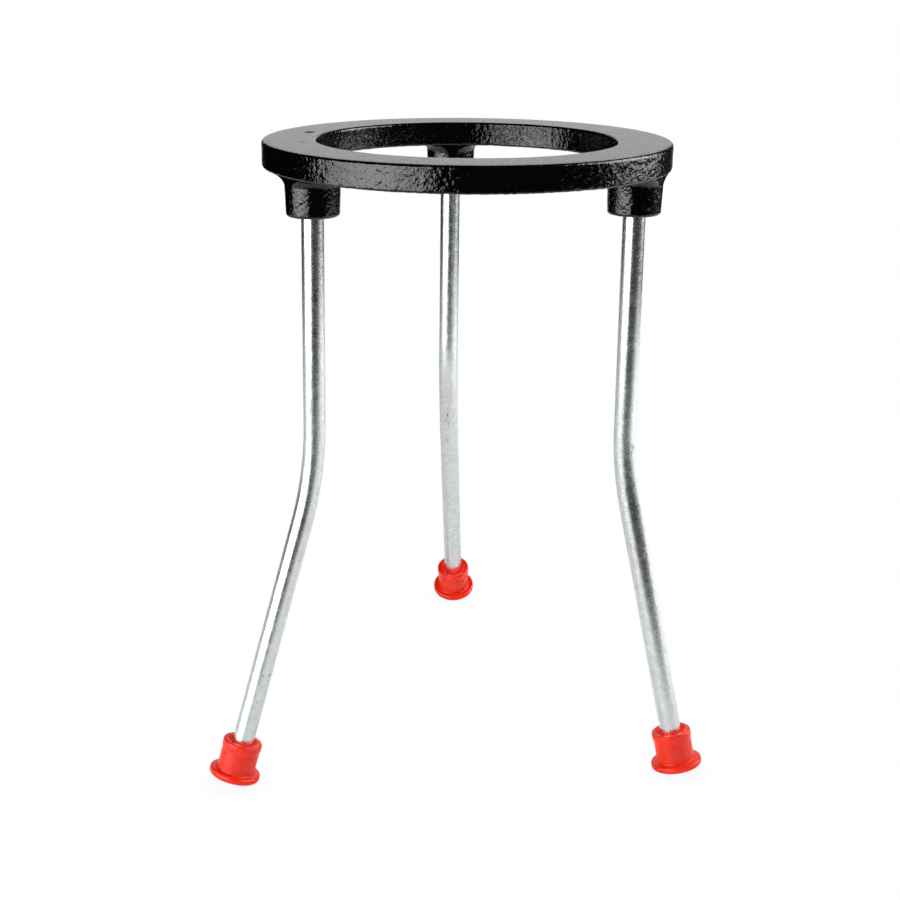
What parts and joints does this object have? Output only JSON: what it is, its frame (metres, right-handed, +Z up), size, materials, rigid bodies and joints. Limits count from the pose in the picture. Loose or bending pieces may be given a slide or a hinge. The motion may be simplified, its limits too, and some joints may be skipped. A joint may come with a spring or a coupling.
{
  "type": "lab tripod stand",
  "caption": "Laboratory tripod stand: a flat black iron ring carried on bent steel rod legs with red foot caps, holding a vessel over a burner.",
  "frame": {"origin": "on the ring's axis, at the level of the table that the feet stand on", "axes": "+Z up along the ring's axis, +Y towards the rear leg, +X towards the side of the right leg"},
  "size_m": [0.1885, 0.1953, 0.235],
  "materials": {
    "black_iron": "gloss black enamel over rough cast iron, worn satin grey on the top face",
    "zinc_steel": "satin zinc plating, mottled and lightly scuffed",
    "red_cap": "satin moulded red"
  },
  "bodies": {
    "root": {"ring_casting": "black_iron", "rear_rod": "zinc_steel", "left_rod": "zinc_steel", "right_rod": "zinc_steel", "rear_foot_cap": "red_cap", "left_foot_cap": "red_cap", "right_foot_cap": "red_cap"}
  },
  "joints": []
}
